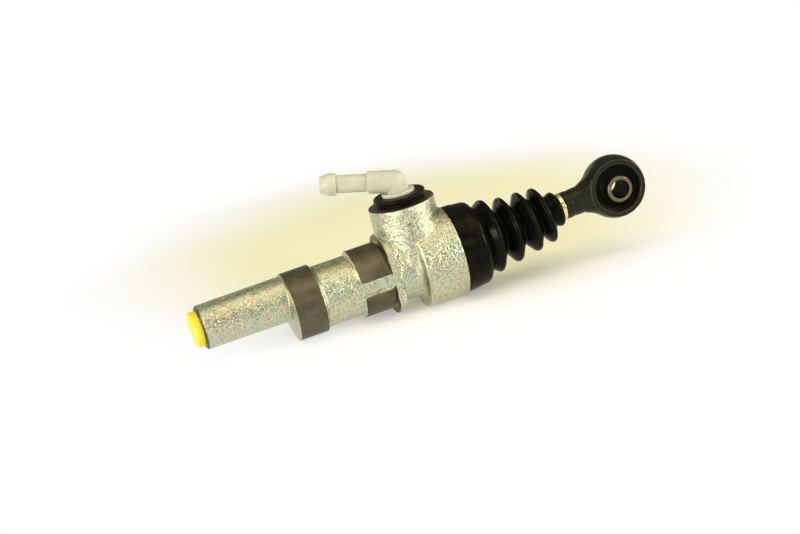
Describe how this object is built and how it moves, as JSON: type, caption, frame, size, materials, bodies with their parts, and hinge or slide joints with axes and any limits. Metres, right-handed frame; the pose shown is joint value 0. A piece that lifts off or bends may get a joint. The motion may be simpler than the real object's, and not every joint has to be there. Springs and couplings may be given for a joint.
{
  "type": "clutch master cylinder",
  "caption": "hydraulic clutch master cylinder: cast body with flange and reservoir boss, swivelling hose elbow, sprung piston, bellows boot and pushrod with a bushed eye",
  "frame": {"origin": "centre of the mounting flange's front face, on the bore's axis", "axes": "+X along the bore towards the pedal, +Z along the reservoir boss, +Y across"},
  "size_m": [0.2114, 0.04, 0.0683],
  "materials": {
    "casting": "zinc plated as-cast grain, with machined bands",
    "seat_metal": "turned",
    "yellow_plastic": "moulded, soft gloss",
    "soft_rubber": "satin",
    "white_nylon": "moulded, slightly translucent",
    "piston_metal": "turned",
    "plain_steel": "bright",
    "boot_rubber": "matt, with a light bloom",
    "yellow_zinc": "yellow zinc plate",
    "black_steel": "satin black",
    "bush_rubber": "matt",
    "sleeve_steel": "dull, drawn tube"
  },
  "bodies": {
    "housing": {"body_casting": "casting", "tube_seat": "seat_metal", "outlet_plug": "yellow_plastic", "reservoir_grommet": "soft_rubber", "return_spring": "plain_steel", "stop_washer": "plain_steel", "circlip": "plain_steel", "boot": "boot_rubber"},
    "elbow": {"elbow_connector": "white_nylon"},
    "piston_group": {"piston": "piston_metal", "primary_cup": "soft_rubber", "cup_washer": "plain_steel", "spring_retainer": "plain_steel", "secondary_cup": "soft_rubber", "ball_keeper": "plain_steel"},
    "rod_carrier": {"boot_ring": "yellow_zinc"},
    "rod_group": {"pushrod": "plain_steel", "rod_end": "black_steel", "rubber_bush": "bush_rubber"},
    "eye_sleeve": {"inner_sleeve": "sleeve_steel"}
  },
  "joints": [
    {"name": "piston_stroke", "type": "slide", "parent": "housing", "child": "piston_group", "axis": [-1, 0, 0], "range_m": [0, 0.024], "stiffness_N_per_m": 1500, "springref_m": -0.012, "deforming": ["return_spring", "boot"]},
    {"name": "pushrod_rock", "type": "hinge", "parent": "piston_group", "child": "rod_carrier", "pos_m": [0.03, 0, 0], "axis": [0, 1, 0], "range_deg": [-1.6, 6.2], "deforming": ["boot"]},
    {"name": "pushrod_spin", "type": "hinge", "parent": "rod_carrier", "child": "rod_group", "pos_m": [0.03, 0, 0], "axis": [0.9992, 0, 0.0405], "continuous": true},
    {"name": "sleeve_twist", "type": "hinge", "parent": "rod_group", "child": "eye_sleeve", "pos_m": [0.1102, 0, 0.00325], "axis": [0, 1, 0], "range_deg": [-15, 15], "stiffness_Nm_per_rad": 0.5},
    {"name": "elbow_swivel", "type": "hinge", "parent": "housing", "child": "elbow", "pos_m": [0.0152, 0, 0.0376], "axis": [0, 0, 1], "continuous": true}
  ]
}
